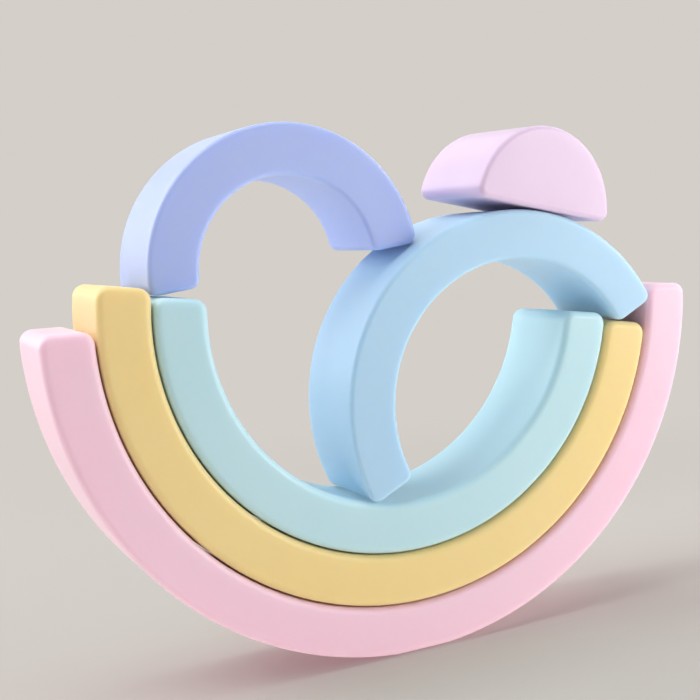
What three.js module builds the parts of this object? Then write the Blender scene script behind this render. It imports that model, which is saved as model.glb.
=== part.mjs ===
// A silicone rainbow stacker of six mouldings: five half-ring arches and a half-moon.
// The three largest arches nest as a rocking bowl and the other three pieces are balanced on it.
// Millimetres, +Z up, front faces towards -Y, origin on the floor under the axis of the nest.
import * as THREE from 'three';

// Driving sizes
const moonRadius = 17; // the half-moon, around which the arches nest
const moonPlay = 1; // radial play of the half-moon in the smallest arch
const wall = 10; // radial thickness of every arch
const nestGap = 0.5; // radial play between one arch and the next
const depth = 22; // every piece, front to back
const seatGap = 0.3; // clearance where one piece leans or stands on another
const restFlatWidth = 11; // strip of the soft crown that lies flat on the floor

// Roundings: edge runs along the front and back faces, foot round the corners of the feet
const bowlRounds = { edge: 1.5, foot: 2.5 }; // the three arches of the bowl
const looseRounds = { edge: 1, foot: 2 }; // the crisper pieces on it

// Arrangement, with angles in degrees, counter-clockwise as seen from the front
const yellowTurnDegrees = -7.8; // the yellow arch in the pink one
const mintTurnDegrees = -6; // the mint arch in the pink one
const moonFromCrownDegrees = 39.5; // place of the half-moon on the blue arch, clockwise from its crown
const moonYawDegrees = 6; // twist of the half-moon on its seat
const blueSetBack = -0.6; // mid-planes behind the mid-plane of the nest
const periwinkleSetBack = 4.7;
const moonSetBack = -1.5;

// Fineness of the curves
const chordSag = 0.03;
const leastSteps = 3; // on a short arc
const edgeSteps = 3; // on the rounding of the front and back edges

// Looks
const silicone = { roughness: 0.55, metalness: 0 };
const colours = {
  pink: 0xf0c4d6,
  yellow: 0xecd28f,
  mint: 0xbadce2,
  blue: 0xb9d8f0,
  periwinkle: 0xaab6e6,
  lilac: 0xeed4ec,
};

// Sizes of the nested pieces, from the half-moon outwards
const archSize = (place, rounds) => {
  const inner = moonRadius + moonPlay + place * (wall + nestGap);
  return { outer: inner + wall, inner, ...rounds };
};
const [periwinkle, blue] = [0, 1].map((place) => archSize(place, looseRounds));
const [mint, yellow, pink] = [2, 3, 4].map((place) => archSize(place, bowlRounds));
const moon = { outer: moonRadius, inner: 0, ...looseRounds };

// Plane geometry in the front view
const { degToRad, radToDeg } = THREE.MathUtils;
const point = (x, z) => new THREE.Vector2(x, z);
const polar = (degrees, length) => point(length, 0).rotateAround(point(0, 0), degToRad(degrees));
const turned = (p, degrees) => p.clone().rotateAround(point(0, 0), degToRad(degrees));
const bearing = (p) => radToDeg(Math.atan2(p.y, p.x));
const legOf = (hypotenuse, leg) => Math.sqrt(hypotenuse ** 2 - leg ** 2);
const oppositeAngle = (a, b, c) => radToDeg(Math.acos((a ** 2 + b ** 2 - c ** 2) / (2 * a * b)));

function arc(centre, radius, from, to) {
  const step = 2 * radToDeg(Math.acos(1 - chordSag / radius));
  const count = Math.max(leastSteps, Math.ceil(Math.abs(to - from) / step));
  return Array.from({ length: count + 1 }, (_, i) => (
    polar(from + ((to - from) * i) / count, radius).add(centre)
  ));
}

// Each piece is drawn with its crown up, its feet on the line z = 0 and its ring centre at the origin.
// The rounded corners of the feet are what the pieces stand and lean on.
const outerCorner = ({ outer, foot }) => point(legOf(outer - foot, foot), foot);
const innerCorner = ({ inner, foot }) => point(legOf(inner + foot, foot), foot);
const mirrored = (p) => point(-p.x, p.y);

function crownOutline(size, restAngle) {
  const centre = point(0, 0);
  const corner = outerCorner(size);
  const start = bearing(corner);
  const halfFlat = radToDeg(Math.asin(restFlatWidth / 2 / size.outer));
  const crown = restAngle === undefined
    ? arc(centre, size.outer, start, 180 - start)
    : [
      ...arc(centre, size.outer, start, restAngle - halfFlat),
      ...arc(centre, size.outer, restAngle + halfFlat, 180 - start),
    ];
  return [
    ...arc(corner, size.foot, -90, start).slice(0, -1),
    ...crown,
    ...arc(mirrored(corner), size.foot, 180 - start, 270).slice(1),
  ];
}

function openingOutline(size) {
  const corner = innerCorner(size);
  const start = bearing(corner);
  return [
    ...arc(mirrored(corner), size.foot, 270, 360 - start).slice(0, -1),
    ...arc(point(0, 0), size.inner, 180 - start, start),
    ...arc(corner, size.foot, 180 + start, 270).slice(1),
  ];
}

function moulding(name, colour, edge, outline) {
  const geometry = new THREE.ExtrudeGeometry(new THREE.Shape(outline), {
    depth: depth - 2 * edge,
    bevelEnabled: true,
    bevelThickness: edge,
    bevelSize: edge,
    bevelOffset: -edge,
    bevelSegments: edgeSteps,
  });
  geometry.translate(0, 0, edge - depth / 2);
  geometry.rotateX(Math.PI / 2);
  const material = new THREE.MeshStandardMaterial({ color: colour, ...silicone });
  const mesh = new THREE.Mesh(geometry, material);
  mesh.name = name;
  return mesh;
}

function arch(name, colour, size, restAngle) {
  const outline = [...crownOutline(size, restAngle), ...openingOutline(size)];
  return moulding(name, colour, size.edge, outline);
}

// The blue arch wedges itself in the bowl: one foot stands on the mint floor, the other on the end
// of the yellow arch with its outer corner against the pink wall.
function blueSeat() {
  const standOff = blue.foot + seatGap;
  const floorReach = mint.inner - standOff;
  const wallReach = pink.inner - standOff;
  const feetSpan = 2 * outerCorner(blue).x;
  const footWidth = outerCorner(blue).x - innerCorner(blue).x;
  const wallCorner = point(wallReach, 0);
  const floorCorner = polar(-oppositeAngle(wallReach, floorReach, feetSpan), floorReach);
  const lean = bearing(wallCorner.clone().sub(floorCorner));
  const standingCorner = wallCorner.clone().sub(polar(lean, footWidth));
  const rise = radToDeg(Math.asin(standOff / standingCorner.length()));
  const swing = yellowTurnDegrees + rise - bearing(standingCorner);
  const angle = lean + swing;
  const centre = turned(wallCorner, swing).sub(turned(outerCorner(blue), angle));
  return { centre, angle };
}

// The periwinkle arch stands on the end of the mint arch, against the yellow one, and leans its
// other foot on the back of the blue arch.
function periwinkleSeat(blueCentre) {
  const standOff = periwinkle.foot + seatGap;
  const standing = turned(point(-legOf(yellow.inner - standOff, standOff), standOff), mintTurnDegrees);
  const feetSpan = 2 * outerCorner(periwinkle).x;
  const toBlue = blueCentre.clone().sub(standing);
  const angle = bearing(toBlue) + oppositeAngle(toBlue.length(), feetSpan, blue.outer + standOff);
  const centre = standing.clone().sub(turned(mirrored(outerCorner(periwinkle)), angle));
  return { centre, angle };
}

// The flat of the half-moon lies tangent on the back of the blue arch, shifted along it.
function moonSeat(blueAt, shift) {
  const angle = blueAt.angle - moonFromCrownDegrees;
  const centre = polar(angle + 90, blue.outer + seatGap).add(polar(angle, shift)).add(blueAt.centre);
  return { centre, angle };
}

// Weight and centroid of a half ring of even depth
const halfRingArea = ({ outer, inner }) => (Math.PI / 2) * (outer ** 2 - inner ** 2);
const centroidRise = ({ outer, inner }) => (
  (4 / (3 * Math.PI)) * ((outer ** 3 - inner ** 3) / (outer ** 2 - inner ** 2))
);

// The bowl rolls until the centre of mass of the whole stack hangs under its axis.
function leanOf(places) {
  const moment = places.reduce((sum, { size, seat }) => {
    const centroid = polar(seat.angle + 90, centroidRise(size)).add(seat.centre);
    return sum.add(centroid.multiplyScalar(halfRingArea(size)));
  }, point(0, 0));
  return -radToDeg(Math.atan2(moment.x, -moment.y));
}

const nested = (turn) => ({ centre: point(0, 0), angle: 180 + turn });
const pinkAt = nested(0);
const yellowAt = nested(yellowTurnDegrees);
const mintAt = nested(mintTurnDegrees);
const blueAt = blueSeat();
const periwinkleAt = periwinkleSeat(blueAt.centre);

function stackLean(moonAt) {
  return leanOf([
    { size: pink, seat: pinkAt },
    { size: yellow, seat: yellowAt },
    { size: mint, seat: mintAt },
    { size: blue, seat: blueAt },
    { size: periwinkle, seat: periwinkleAt },
    { size: moon, seat: moonAt },
  ]);
}

// The half-moon lies where its own centre of mass is above the line on which it touches.
const moonFirst = moonSeat(blueAt, 0);
const moonSlope = moonFirst.angle + stackLean(moonFirst);
const moonAt = moonSeat(blueAt, (centroidRise(moon) + seatGap) * Math.tan(degToRad(moonSlope)));
const lean = stackLean(moonAt);

const stack = new THREE.Group();

function place(mesh, seat, setBack = 0, yaw = 0) {
  mesh.position.set(seat.centre.x, setBack, seat.centre.y);
  mesh.rotation.set(0, -degToRad(seat.angle), degToRad(yaw), 'YZX');
  stack.add(mesh);
}

place(arch('pink_arch', colours.pink, pink, 90 - lean), pinkAt);
place(arch('yellow_arch', colours.yellow, yellow), yellowAt);
place(arch('mint_arch', colours.mint, mint), mintAt);
place(arch('blue_arch', colours.blue, blue), blueAt, blueSetBack);
place(arch('periwinkle_arch', colours.periwinkle, periwinkle), periwinkleAt, periwinkleSetBack);
const halfMoon = moulding('lilac_half_moon', colours.lilac, moon.edge, crownOutline(moon));
place(halfMoon, moonAt, moonSetBack, moonYawDegrees);

stack.rotation.y = -degToRad(lean);
stack.position.z = legOf(pink.outer, restFlatWidth / 2);

const toy = new THREE.Group();
toy.name = 'silicone_rainbow_stacker';
toy.add(stack);

export default toy;
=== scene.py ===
"""Looks of the silicone rainbow stacker: six matte silicone mouldings on a plain pale floor.

Lengths are in millimetres where a name says so and in metres otherwise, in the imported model's frame.
"""

import math

import bmesh
import bpy
import numpy as np
from mathutils import Matrix, Quaternion, Vector


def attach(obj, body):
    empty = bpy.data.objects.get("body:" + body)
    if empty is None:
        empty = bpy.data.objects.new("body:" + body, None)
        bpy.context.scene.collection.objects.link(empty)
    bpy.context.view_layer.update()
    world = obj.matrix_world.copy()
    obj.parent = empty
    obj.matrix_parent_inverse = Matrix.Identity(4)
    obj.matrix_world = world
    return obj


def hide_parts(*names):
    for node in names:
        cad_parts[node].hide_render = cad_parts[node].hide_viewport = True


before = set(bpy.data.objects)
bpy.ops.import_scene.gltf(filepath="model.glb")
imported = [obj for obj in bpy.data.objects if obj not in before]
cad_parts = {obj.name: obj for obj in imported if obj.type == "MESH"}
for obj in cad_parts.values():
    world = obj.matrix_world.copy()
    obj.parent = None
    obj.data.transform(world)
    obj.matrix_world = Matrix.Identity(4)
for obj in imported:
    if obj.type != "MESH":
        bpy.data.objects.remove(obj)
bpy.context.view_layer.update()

MM = 0.001

# Sizes of the mouldings, as in the part's source
MOON_RADIUS_MM = 17.0
MOON_PLAY_MM = 1.0
WALL_MM = 10.0
NEST_GAP_MM = 0.5
DEPTH_MM = 22.0
REST_FLAT_MM = 11.0

# How far the soft outer faces of the inner arches of the bowl press into the play of the nest
PRESS_MM = 0.2

# Roundings in mm: edge runs along the front and back faces, foot round the corners of the feet
BOWL_ROUNDS = {"edge": 1.5, "foot": 2.5}
LOOSE_ROUNDS = {"edge": 1.0, "foot": 2.0}

# Fineness of the meshes
ARC_STEP_DEG = 1.5
CORNER_STEPS = 8
EDGE_STEPS = 6
ACROSS_STEPS = 8
SIDE_LEVELS_MM = (2.4, 5.0, 8.0)  # outlines on the straight sides, in from the front and the back
REST_BLEND_MM = 0.03  # softness of the shoulders of the strip that lies on the floor
REST_LEAST_COSINE = 0.1  # crown points turned further from the floor than this lie clear of it
WELD_M = 1e-7
FLOOR_SEGMENTS = 64

# The pieces: body, roundings, nest for an arch's place from the smallest outwards, press for arches
# that press into the play, and rests for the arch that lies on the floor
PIECES = {
    "pink_arch": {"body": "pink", "nest": 4, "rounds": BOWL_ROUNDS, "rests": True},
    "yellow_arch": {"body": "yellow", "nest": 3, "rounds": BOWL_ROUNDS, "press": PRESS_MM},
    "mint_arch": {"body": "mint", "nest": 2, "rounds": BOWL_ROUNDS, "press": PRESS_MM},
    "blue_arch": {"body": "blue", "nest": 1, "rounds": LOOSE_ROUNDS},
    "periwinkle_arch": {"body": "periwinkle", "nest": 0, "rounds": LOOSE_ROUNDS},
    "lilac_half_moon": {"body": "half_moon", "rounds": LOOSE_ROUNDS},
}

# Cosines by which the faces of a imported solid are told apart
SAME_PLANE = 0.99999
FACING = 0.5
SQUARE_TO = 0.01

# Colours of the silicone, as seen on the screen
COLOURS = {
    "pink_arch": (0.953, 0.808, 0.877),
    "yellow_arch": (0.931, 0.839, 0.592),
    "mint_arch": (0.743, 0.876, 0.911),
    "blue_arch": (0.694, 0.833, 0.931),
    "periwinkle_arch": (0.683, 0.748, 0.941),
    "lilac_half_moon": (0.850, 0.764, 0.865),
}
BACKDROP = (0.831, 0.812, 0.788)

# Finish of the silicone: scales are features per metre, heights and depths in metres
NOISE_RANGE = (0.3, 0.7)
TINT_LIFT = 0.03
CLOUD_SCALE = 30.0
CLOUD_DETAIL = 3.0
SMUDGE_SCALE = 90.0
SMUDGE_DETAIL = 4.0
ROUGHNESS_RANGE = (0.36, 0.46)
BUMP_DETAIL = 2.0
WAVE_SCALE = 45.0
WAVE_HEIGHT = 0.0003
WAVE_STRENGTH = 0.15
GRAIN_SCALE = 2600.0
GRAIN_HEIGHT = 0.00003
GRAIN_STRENGTH = 0.25
SILICONE_IOR = 1.41
SUBSURFACE_WEIGHT = 0.5
SUBSURFACE_DEPTH = 0.003
SHEEN_WEIGHT = 0.06
SHEEN_ROUGHNESS = 0.4

# Stage and light: around is azimuth and elevation in degrees, then the distance from the target
FLOOR_RADIUS_M = 6.0
FLOOR_DROP_M = 0.00005
FLOOR_FADE_M = (0.09, 0.27)
FLOOR_SHARE = 0.75
AMBIENT = 0.13
FLOOR_GLOW = 0.92
LIGHT_TARGET_M = (0.0, 0.0, 0.06)
LAMPS = {
    "back_left": {"around": (-135, 21, 0.65), "size": 0.40, "watts": 2.0},
    "high_back_left": {"around": (-130, 50, 0.65), "size": 0.40, "watts": 0.9},
    "high_left": {"around": (-92, 58, 0.65), "size": 0.40, "watts": 2.0},
    "front_right": {"around": (56, 11, 0.38), "size": 0.20, "watts": 0.94},
    "right": {"around": (110, 28, 0.60), "size": 0.40, "watts": 0.7},
    "back": {"around": (172, 42, 0.65), "size": 0.30, "watts": 0.3},
    "top": {"around": (0, 88, 0.65), "size": 0.40, "watts": 1.35},
}

# The photograph's camera, with the image taken as 700 by 700
IMAGE_PX = 700
CAMERA_FOCAL_PX = 1220.2
CAMERA_AROUND = (-23.926, 6.241, 0.24702)
CAMERA_ROLL_DEG = -4.525
CAMERA_TARGET_M = (-0.006596, 0.0, 0.061128)
CAMERA_CLIP_M = (0.01, 20.0)
SENSOR_MM = 36.0


def linear(colour):
    """A screen colour as linear light, by the sRGB curve."""
    return tuple(c / 12.92 if c <= 0.04045 else ((c + 0.055) / 1.055) ** 2.4 for c in colour)


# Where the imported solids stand

def placing(solid):
    """The matrix that takes a piece from its own crown-up frame to where its solid stands."""
    corners = np.array([v.co for v in solid.data.vertices])
    faces = solid.data.polygons
    normals = np.array([face.normal for face in faces])
    areas = np.array([face.area for face in faces])
    alike = normals @ normals.T > SAME_PLANE

    def flat_normal(i):
        total = (areas * alike[i]) @ normals
        return total / np.linalg.norm(total)

    # The largest flat that faces the back gives the depth axis
    back = flat_normal(np.argmax(np.where(normals[:, 1] > FACING, alike @ areas, 0)))

    def spread(i):
        rim = [v for j in np.flatnonzero(alike[i]) for v in faces[j].vertices]
        return np.ptp(corners[rim] @ np.cross(back, normals[i]))

    # The wall that spreads widest is the flat of the feet or of the half-moon, which is down in its frame
    walls = np.flatnonzero(np.abs(normals @ back) < SQUARE_TO)
    up = -flat_normal(max(walls, key=spread))
    axes = np.stack([np.cross(back, up), back, up], 1)
    low, high = (corners @ axes).min(0), (corners @ axes).max(0)
    centre = axes @ [(low[0] + high[0]) / 2, (low[1] + high[1]) / 2, low[2]]
    return Matrix.Translation(centre) @ Matrix(axes.tolist()).to_4x4()


def floor_angle(place):
    """The direction of the floor in a piece's own frame, in degrees from its right."""
    down = place.to_3x3().transposed() @ Vector((0, 0, -1))
    return math.degrees(math.atan2(down.z, down.x))


# Outlines in mm, drawn with the crown up, the feet on z = 0 and the ring centre at the origin

def arc(centre, radius, start, end, steps):
    """Points round a centre, from one angle in degrees to another."""
    turn = np.radians(np.linspace(start, end, steps + 1))
    return np.stack([centre[0] + radius * np.cos(turn), centre[1] + radius * np.sin(turn)], 1)


def resting(points, rest_deg):
    """The points of a crown, pressed flat with a soft shoulder where it lies on the floor."""
    radius = np.hypot(points[:, 0], points[:, 1])
    turn = np.arctan2(points[:, 1], points[:, 0])
    flat = math.sqrt(radius.max() ** 2 - (REST_FLAT_MM / 2) ** 2)
    away = np.maximum(np.cos(turn - math.radians(rest_deg)), REST_LEAST_COSINE)
    softened = -REST_BLEND_MM * np.logaddexp(-radius / REST_BLEND_MM, -flat / away / REST_BLEND_MM)
    return points * (softened / radius)[:, None]


def crown_chain(outer, foot, inset, rest_deg=None):
    """From the right foot over the crown to the left foot, moved inwards by inset."""
    corner = (math.sqrt((outer - foot) ** 2 - foot ** 2), foot)
    start = math.degrees(math.atan2(corner[1], corner[0]))
    steps = round((180 - 2 * start) / ARC_STEP_DEG)
    crown = arc((0, 0), outer, start, 180 - start, steps)
    if rest_deg is not None:
        crown = resting(crown, rest_deg)
    crown *= 1 - inset / outer
    right = arc(corner, foot - inset, -90, start, CORNER_STEPS)
    left = arc((-corner[0], corner[1]), foot - inset, 180 - start, 270, CORNER_STEPS)
    return np.concatenate([right[:-1], crown, left[1:]])


def opening_chain(inner, foot, inset, count):
    """From the right foot along the inside of the arch to the left foot, with count points."""
    corner = (math.sqrt((inner + foot) ** 2 - foot ** 2), foot)
    start = math.degrees(math.atan2(corner[1], corner[0]))
    right = arc(corner, foot - inset, 270, 180 + start, CORNER_STEPS)
    left = arc((-corner[0], corner[1]), foot - inset, -start, -90, CORNER_STEPS)
    inside = arc((0, 0), inner + inset, start, 180 - start, count - 1 - 2 * CORNER_STEPS)
    return np.concatenate([right[:-1], inside, left[1:]])


def base_chain(crown):
    """The flat of the half-moon: as many points as the crown, between its two ends."""
    share = np.linspace(0, 1, len(crown))[:, None]
    return crown[0] + (crown[-1] - crown[0]) * share


def levels(edge):
    """(depth, inset) of every outline from the front face to the back face."""
    face = -DEPTH_MM / 2
    turns = [math.pi / 2 * i / EDGE_STEPS for i in range(EDGE_STEPS + 1)]
    front = [(face + edge * (1 - math.cos(t)), edge * (1 - math.sin(t))) for t in turns]
    front += [(face + behind, 0.0) for behind in SIDE_LEVELS_MM]
    back = [(-depth, inset) for depth, inset in reversed(front)]
    return [*front, (0.0, 0.0), *back]


def rim(index):
    """The edges round a level, in order."""
    loop = [*index[0, :-1], *index[:-1, -1], *index[-1, :0:-1], *index[:0:-1, 0]]
    return list(zip(loop, loop[1:] + loop[:1]))


def moulding(name, edge, chains):
    """A closed mesh from chains(inset), which gives the crown chain and the chain under it."""
    # The points of each level: all over the front and back faces, round the rim in between
    rows = []
    verts = []
    stations = levels(edge)
    for level, (depth, inset) in enumerate(stations):
        crown, under = chains(inset)
        grid = [crown + (under - crown) * (k / ACROSS_STEPS) for k in range(ACROSS_STEPS + 1)]
        whole = level in (0, len(stations) - 1)
        count = len(crown)
        index = np.full((ACROSS_STEPS + 1, count), -1)
        for k in range(ACROSS_STEPS + 1):
            for i in range(count):
                on_rim = k in (0, ACROSS_STEPS) or i in (0, count - 1)
                if not (whole or on_rim):
                    continue
                index[k, i] = len(verts)
                verts.append((grid[k][i][0] * MM, depth * MM, grid[k][i][1] * MM))
        rows.append(index)

    # The front and back faces, then the sides from level to level
    faces = []
    for index, order in ((rows[0], 1), (rows[-1], -1)):
        for k in range(ACROSS_STEPS):
            for i in range(index.shape[1] - 1):
                face = (index[k, i], index[k, i + 1], index[k + 1, i + 1], index[k + 1, i])
                faces.append(face[::order])
    for near, far in zip(rows, rows[1:]):
        for a, b in zip(rim(near), rim(far)):
            faces.append((a[0], b[0], b[1], a[1]))

    mesh = bpy.data.meshes.new(name)
    mesh.from_pydata(verts, [], [[int(v) for v in f] for f in faces])
    mesh.validate()
    mesh.update()
    return mesh


def stand_mesh(name, piece, place):
    """The mesh of a piece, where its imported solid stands."""
    rounds = piece["rounds"]
    if "nest" not in piece:
        def chains(inset):
            crown = crown_chain(MOON_RADIUS_MM, rounds["foot"], inset)
            return crown, base_chain(crown)
    else:
        inner = MOON_RADIUS_MM + MOON_PLAY_MM + piece["nest"] * (WALL_MM + NEST_GAP_MM)
        outer = inner + WALL_MM + piece.get("press", 0.0)
        rest_deg = floor_angle(place) if "rests" in piece else None

        def chains(inset):
            crown = crown_chain(outer, rounds["foot"], inset, rest_deg)
            return crown, opening_chain(inner, rounds["foot"], inset, len(crown))
    mesh = moulding(name, rounds["edge"], chains)
    work = bmesh.new()
    work.from_mesh(mesh)
    bmesh.ops.remove_doubles(work, verts=work.verts, dist=WELD_M)
    bmesh.ops.recalc_face_normals(work, faces=work.faces)
    for face in work.faces:
        face.smooth = True
    work.to_mesh(mesh)
    work.free()
    mesh.transform(place)
    return mesh


# Materials

def link(tree, start, end):
    """A link from an output to an input."""
    tree.links.new(start, end)


def node(tree, kind, **values):
    """A new node with its settings."""
    made = tree.nodes.new(kind)
    for key, value in values.items():
        setattr(made, key, value)
    return made


def noise(tree, where, scale, detail):
    """The value of a noise at a place."""
    made = node(tree, "ShaderNodeTexNoise")
    made.inputs["Scale"].default_value = scale
    made.inputs["Detail"].default_value = detail
    link(tree, where, made.inputs["Vector"])
    return made.outputs["Fac"]


def bump(tree, where, scale, strength, height):
    """A bump over a noise."""
    made = node(tree, "ShaderNodeBump")
    made.inputs["Strength"].default_value = strength
    made.inputs["Distance"].default_value = height
    link(tree, noise(tree, where, scale, BUMP_DETAIL), made.inputs["Height"])
    return made


def mapped(tree, value, start, end, **settings):
    """A value mapped from the range start to the range end."""
    made = node(tree, "ShaderNodeMapRange", **settings)
    made.inputs["From Min"].default_value = start[0]
    made.inputs["From Max"].default_value = start[1]
    made.inputs["To Min"].default_value = end[0]
    made.inputs["To Max"].default_value = end[1]
    link(tree, value, made.inputs["Value"])
    return made.outputs["Result"]


def combined(tree, operation, first, second):
    """Two values put together by a math node."""
    made = node(tree, "ShaderNodeMath", operation=operation)
    link(tree, first, made.inputs[0])
    link(tree, second, made.inputs[1])
    return made.outputs[0]


def emission(tree, colour):
    """A shader that shines in a linear colour."""
    made = node(tree, "ShaderNodeEmission")
    made.inputs["Color"].default_value = (*colour, 1)
    return made


def silicone(name, colour):
    """Matte, slightly translucent silicone with a fine moulded grain and a faintly uneven tint."""
    material = bpy.data.materials.new(name)
    material.use_nodes = True
    tree = material.node_tree
    shader = tree.nodes["Principled BSDF"]
    where = node(tree, "ShaderNodeTexCoord").outputs["Object"]

    base = linear(colour)
    pale = tuple(c + (1 - c) * TINT_LIFT for c in base)
    deep = tuple(c ** (1 + TINT_LIFT) for c in base)
    tint = node(tree, "ShaderNodeMix", data_type="RGBA")
    tint.inputs["A"].default_value = (*deep, 1)
    tint.inputs["B"].default_value = (*pale, 1)
    clouds = mapped(tree, noise(tree, where, CLOUD_SCALE, CLOUD_DETAIL), NOISE_RANGE, (0, 1))
    link(tree, clouds, tint.inputs["Factor"])
    link(tree, tint.outputs["Result"], shader.inputs["Base Color"])

    smudges = noise(tree, where, SMUDGE_SCALE, SMUDGE_DETAIL)
    link(tree, mapped(tree, smudges, NOISE_RANGE, ROUGHNESS_RANGE), shader.inputs["Roughness"])

    wave = bump(tree, where, WAVE_SCALE, WAVE_STRENGTH, WAVE_HEIGHT)
    grain = bump(tree, where, GRAIN_SCALE, GRAIN_STRENGTH, GRAIN_HEIGHT)
    link(tree, wave.outputs["Normal"], grain.inputs["Normal"])
    link(tree, grain.outputs["Normal"], shader.inputs["Normal"])

    shader.inputs["IOR"].default_value = SILICONE_IOR
    shader.inputs["Subsurface Weight"].default_value = SUBSURFACE_WEIGHT
    shader.inputs["Subsurface Radius"].default_value = base
    shader.inputs["Subsurface Scale"].default_value = SUBSURFACE_DEPTH
    shader.inputs["Sheen Weight"].default_value = SHEEN_WEIGHT
    shader.inputs["Sheen Roughness"].default_value = SHEEN_ROUGHNESS
    return material


def seen_directly(tree):
    """1 for what the camera sees, itself or in a reflection, and 0 for light that falls on things."""
    path = node(tree, "ShaderNodeLightPath").outputs
    seen = combined(tree, "MAXIMUM", path["Is Camera Ray"], path["Is Glossy Ray"])
    return combined(tree, "MAXIMUM", seen, path["Is Transmission Ray"])


def floor_material():
    """Pale floor that runs into the plain backdrop further off.

    It also shines as a light table does, but only on the toy: the camera doesn't see the glow.
    """
    material = bpy.data.materials.new("pale_floor")
    material.use_nodes = True
    tree = material.node_tree
    tree.nodes.clear()
    pale = linear(BACKDROP)
    seen = seen_directly(tree)

    matte = node(tree, "ShaderNodeBsdfDiffuse")
    matte.inputs["Color"].default_value = (*(c * FLOOR_SHARE for c in pale), 1)
    glow = emission(tree, pale)
    link(tree, mapped(tree, seen, (0, 1), (FLOOR_GLOW, 0)), glow.inputs["Strength"])
    near = node(tree, "ShaderNodeAddShader")
    link(tree, matte.outputs[0], near.inputs[0])
    link(tree, glow.outputs[0], near.inputs[1])

    away = node(tree, "ShaderNodeVectorMath", operation="LENGTH")
    link(tree, node(tree, "ShaderNodeNewGeometry").outputs["Position"], away.inputs[0])
    distance = away.outputs["Value"]
    fade = mapped(tree, distance, FLOOR_FADE_M, (0, 1), interpolation_type="SMOOTHSTEP")
    mix = node(tree, "ShaderNodeMixShader")
    link(tree, combined(tree, "MULTIPLY", fade, seen), mix.inputs["Fac"])
    link(tree, near.outputs[0], mix.inputs[1])
    link(tree, emission(tree, pale).outputs[0], mix.inputs[2])
    out = node(tree, "ShaderNodeOutputMaterial")
    link(tree, mix.outputs[0], out.inputs["Surface"])
    return material


# The pieces

for name, piece in PIECES.items():
    mesh = stand_mesh(name, piece, placing(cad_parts[name]))
    shape = bpy.data.objects.new(name + "_moulding", mesh)
    bpy.context.scene.collection.objects.link(shape)
    slot = name.split("_")[0] + "_silicone"
    shape.data.materials.append(silicone(slot, COLOURS[name]))
    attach(shape, piece["body"])
    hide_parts(name)


# The floor, the world and the lamps

def aimed(name, data, around, target):
    """A lamp or camera at an azimuth, elevation and distance round the target, looking at it."""
    azimuth, elevation = math.radians(around[0]), math.radians(around[1])
    back = Vector((
        math.sin(azimuth) * math.cos(elevation),
        -math.cos(azimuth) * math.cos(elevation),
        math.sin(elevation),
    ))
    holder = bpy.data.objects.new(name, data)
    holder.location = Vector(target) + back * around[2]
    holder.rotation_mode = "QUATERNION"
    holder.rotation_quaternion = (-back).to_track_quat("-Z", "Y")
    bpy.context.scene.collection.objects.link(holder)
    return holder


floor_mesh = bpy.data.meshes.new("floor")
work = bmesh.new()
bmesh.ops.create_circle(work, cap_ends=True, radius=FLOOR_RADIUS_M, segments=FLOOR_SEGMENTS)
work.to_mesh(floor_mesh)
work.free()
floor = bpy.data.objects.new("floor", floor_mesh)
floor.location.z = -FLOOR_DROP_M
floor.data.materials.append(floor_material())
bpy.context.scene.collection.objects.link(floor)

world = bpy.data.worlds.new("studio")
world.use_nodes = True
bpy.context.scene.world = world
tree = world.node_tree
surround = tree.nodes["Background"]
sky = node(tree, "ShaderNodeMix", data_type="RGBA")
sky.inputs["A"].default_value = (AMBIENT, AMBIENT, AMBIENT, 1)
sky.inputs["B"].default_value = (*linear(BACKDROP), 1)
link(tree, seen_directly(tree), sky.inputs["Factor"])
link(tree, sky.outputs["Result"], surround.inputs["Color"])

for name, lamp in LAMPS.items():
    light = bpy.data.lights.new(name, "AREA")
    light.energy = lamp["watts"]
    light.size = lamp["size"]
    aimed(name, light, lamp["around"], LIGHT_TARGET_M)


# The camera, at the photograph's viewing angle

camera = bpy.data.cameras.new("camera")
camera.sensor_width = SENSOR_MM
camera.lens = CAMERA_FOCAL_PX / IMAGE_PX * SENSOR_MM
camera.clip_start, camera.clip_end = CAMERA_CLIP_M
viewer = aimed("camera", camera, CAMERA_AROUND, CAMERA_TARGET_M)
viewer.rotation_quaternion @= Quaternion((0, 0, 1), math.radians(CAMERA_ROLL_DEG))
bpy.context.scene.camera = viewer

bpy.context.scene.view_settings.view_transform = "Standard"
